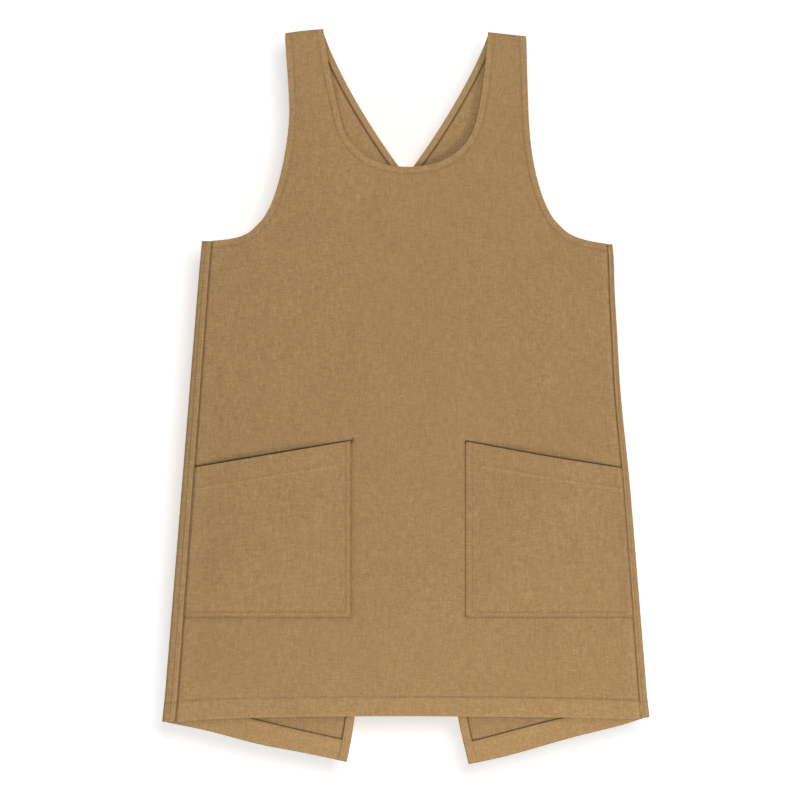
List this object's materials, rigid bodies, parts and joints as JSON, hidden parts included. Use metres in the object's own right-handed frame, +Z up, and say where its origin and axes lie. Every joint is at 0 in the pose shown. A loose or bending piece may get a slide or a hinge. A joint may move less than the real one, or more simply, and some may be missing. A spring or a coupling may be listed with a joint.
{
  "type": "smock apron",
  "caption": "Cross-back linen smock apron with two slanted patch pockets and open back flaps, lying flat.",
  "frame": {"origin": "on the shoulder line, at the top of the shoulder folds and midway between the two straps, at mid depth", "axes": "+Z up from the hem to the shoulders, +X to the right as the front is looked at, +Y from the front to the back"},
  "size_m": [0.6318, 0.0146, 0.9489],
  "materials": {
    "linen": "matt plain-weave linen with slubs",
    "linen_turned": "matt plain-weave linen, turned edge",
    "thread": "spun polyester sewing thread, matt"
  },
  "bodies": {
    "front": {"front_panel": "linen", "neck_facing": "linen_turned", "left_armhole_facing": "linen_turned", "right_armhole_facing": "linen_turned", "front_hem": "linen_turned", "left_side_wrap": "linen", "right_side_wrap": "linen", "left_side_seam": "linen_turned", "right_side_seam": "linen_turned", "left_pocket": "linen", "right_pocket": "linen", "left_pocket_mouth_hem": "linen_turned", "right_pocket_mouth_hem": "linen_turned", "neck_stitching": "thread", "left_armhole_stitching": "thread", "right_armhole_stitching": "thread", "front_hem_stitching": "thread", "left_side_stitching": "thread", "right_side_stitching": "thread", "left_pocket_stitching": "thread", "right_pocket_stitching": "thread"},
    "left_back": {"left_back_flap": "linen", "left_flap_hem": "linen_turned", "left_flap_centre_facing": "linen_turned", "left_flap_armhole_facing": "linen_turned", "left_flap_stitching": "thread"},
    "right_back": {"right_back_flap": "linen", "right_flap_hem": "linen_turned", "right_flap_centre_facing": "linen_turned", "right_flap_armhole_facing": "linen_turned", "right_flap_stitching": "thread"},
    "left_strap": {"left_back_strap": "linen", "left_strap_neck_hem": "linen_turned", "left_strap_arm_hem": "linen_turned", "left_strap_stitching": "thread"},
    "right_strap": {"right_back_strap": "linen", "right_strap_neck_hem": "linen_turned", "right_strap_arm_hem": "linen_turned", "right_strap_stitching": "thread"}
  },
  "joints": [
    {"name": "left_side_fold", "type": "hinge", "parent": "front", "child": "left_back", "pos_m": [-0.28023, 0, -0.5], "axis": [0.0804, 0, 0.9968], "range_deg": [0, 25]},
    {"name": "right_side_fold", "type": "hinge", "parent": "front", "child": "right_back", "pos_m": [0.28023, 0, -0.5], "axis": [0.0804, 0, -0.9968], "range_deg": [0, 25]},
    {"name": "left_shoulder_fold", "type": "hinge", "parent": "front", "child": "left_strap", "pos_m": [-0.13, 0, -0.00659], "axis": [1, 0, 0], "range_deg": [0, 18.5]},
    {"name": "right_shoulder_fold", "type": "hinge", "parent": "front", "child": "right_strap", "pos_m": [0.13, 0, -0.00659], "axis": [1, 0, 0], "range_deg": [0, 18.5]}
  ],
  "couplings": [
    {"joint": "right_side_fold", "follows": "left_side_fold", "ratio": 1},
    {"joint": "left_shoulder_fold", "follows": "left_side_fold", "ratio": 0.73},
    {"joint": "right_shoulder_fold", "follows": "left_side_fold", "ratio": 0.73}
  ]
}
